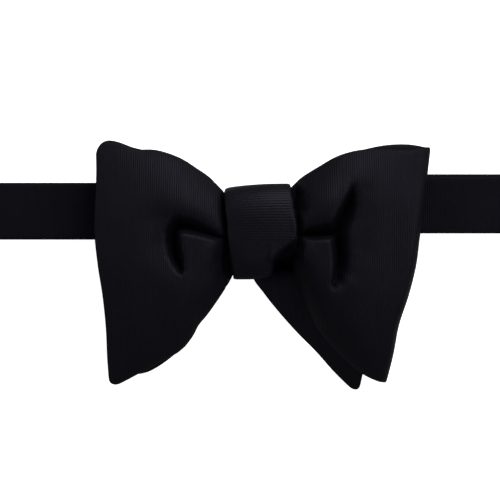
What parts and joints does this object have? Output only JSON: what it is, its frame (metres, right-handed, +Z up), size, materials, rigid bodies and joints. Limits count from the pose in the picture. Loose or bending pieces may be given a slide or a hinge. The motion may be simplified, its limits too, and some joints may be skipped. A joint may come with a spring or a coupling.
{
  "type": "butterfly bow tie",
  "caption": "Tied butterfly bow tie with wide looped wings, a wrapped knot and a flat neckband loop, lying face up",
  "frame": {"origin": "on the surface that the bow tie lies on, under the middle of the knot", "axes": "X along the neckband to the side of the open loop, Y towards the top edge of the bow, Z up out of the surface, the way the bow faces"},
  "size_m": [0.2054, 0.0937, 0.0267],
  "materials": {
    "silk": "finely ribbed black silk with a soft sheen",
    "metal": "smooth black enamel"
  },
  "bodies": {
    "root": {"front_bow": "silk", "back_bow": "silk", "knot": "silk", "neckband": "silk", "neckband_clasp": "metal"}
  },
  "joints": []
}
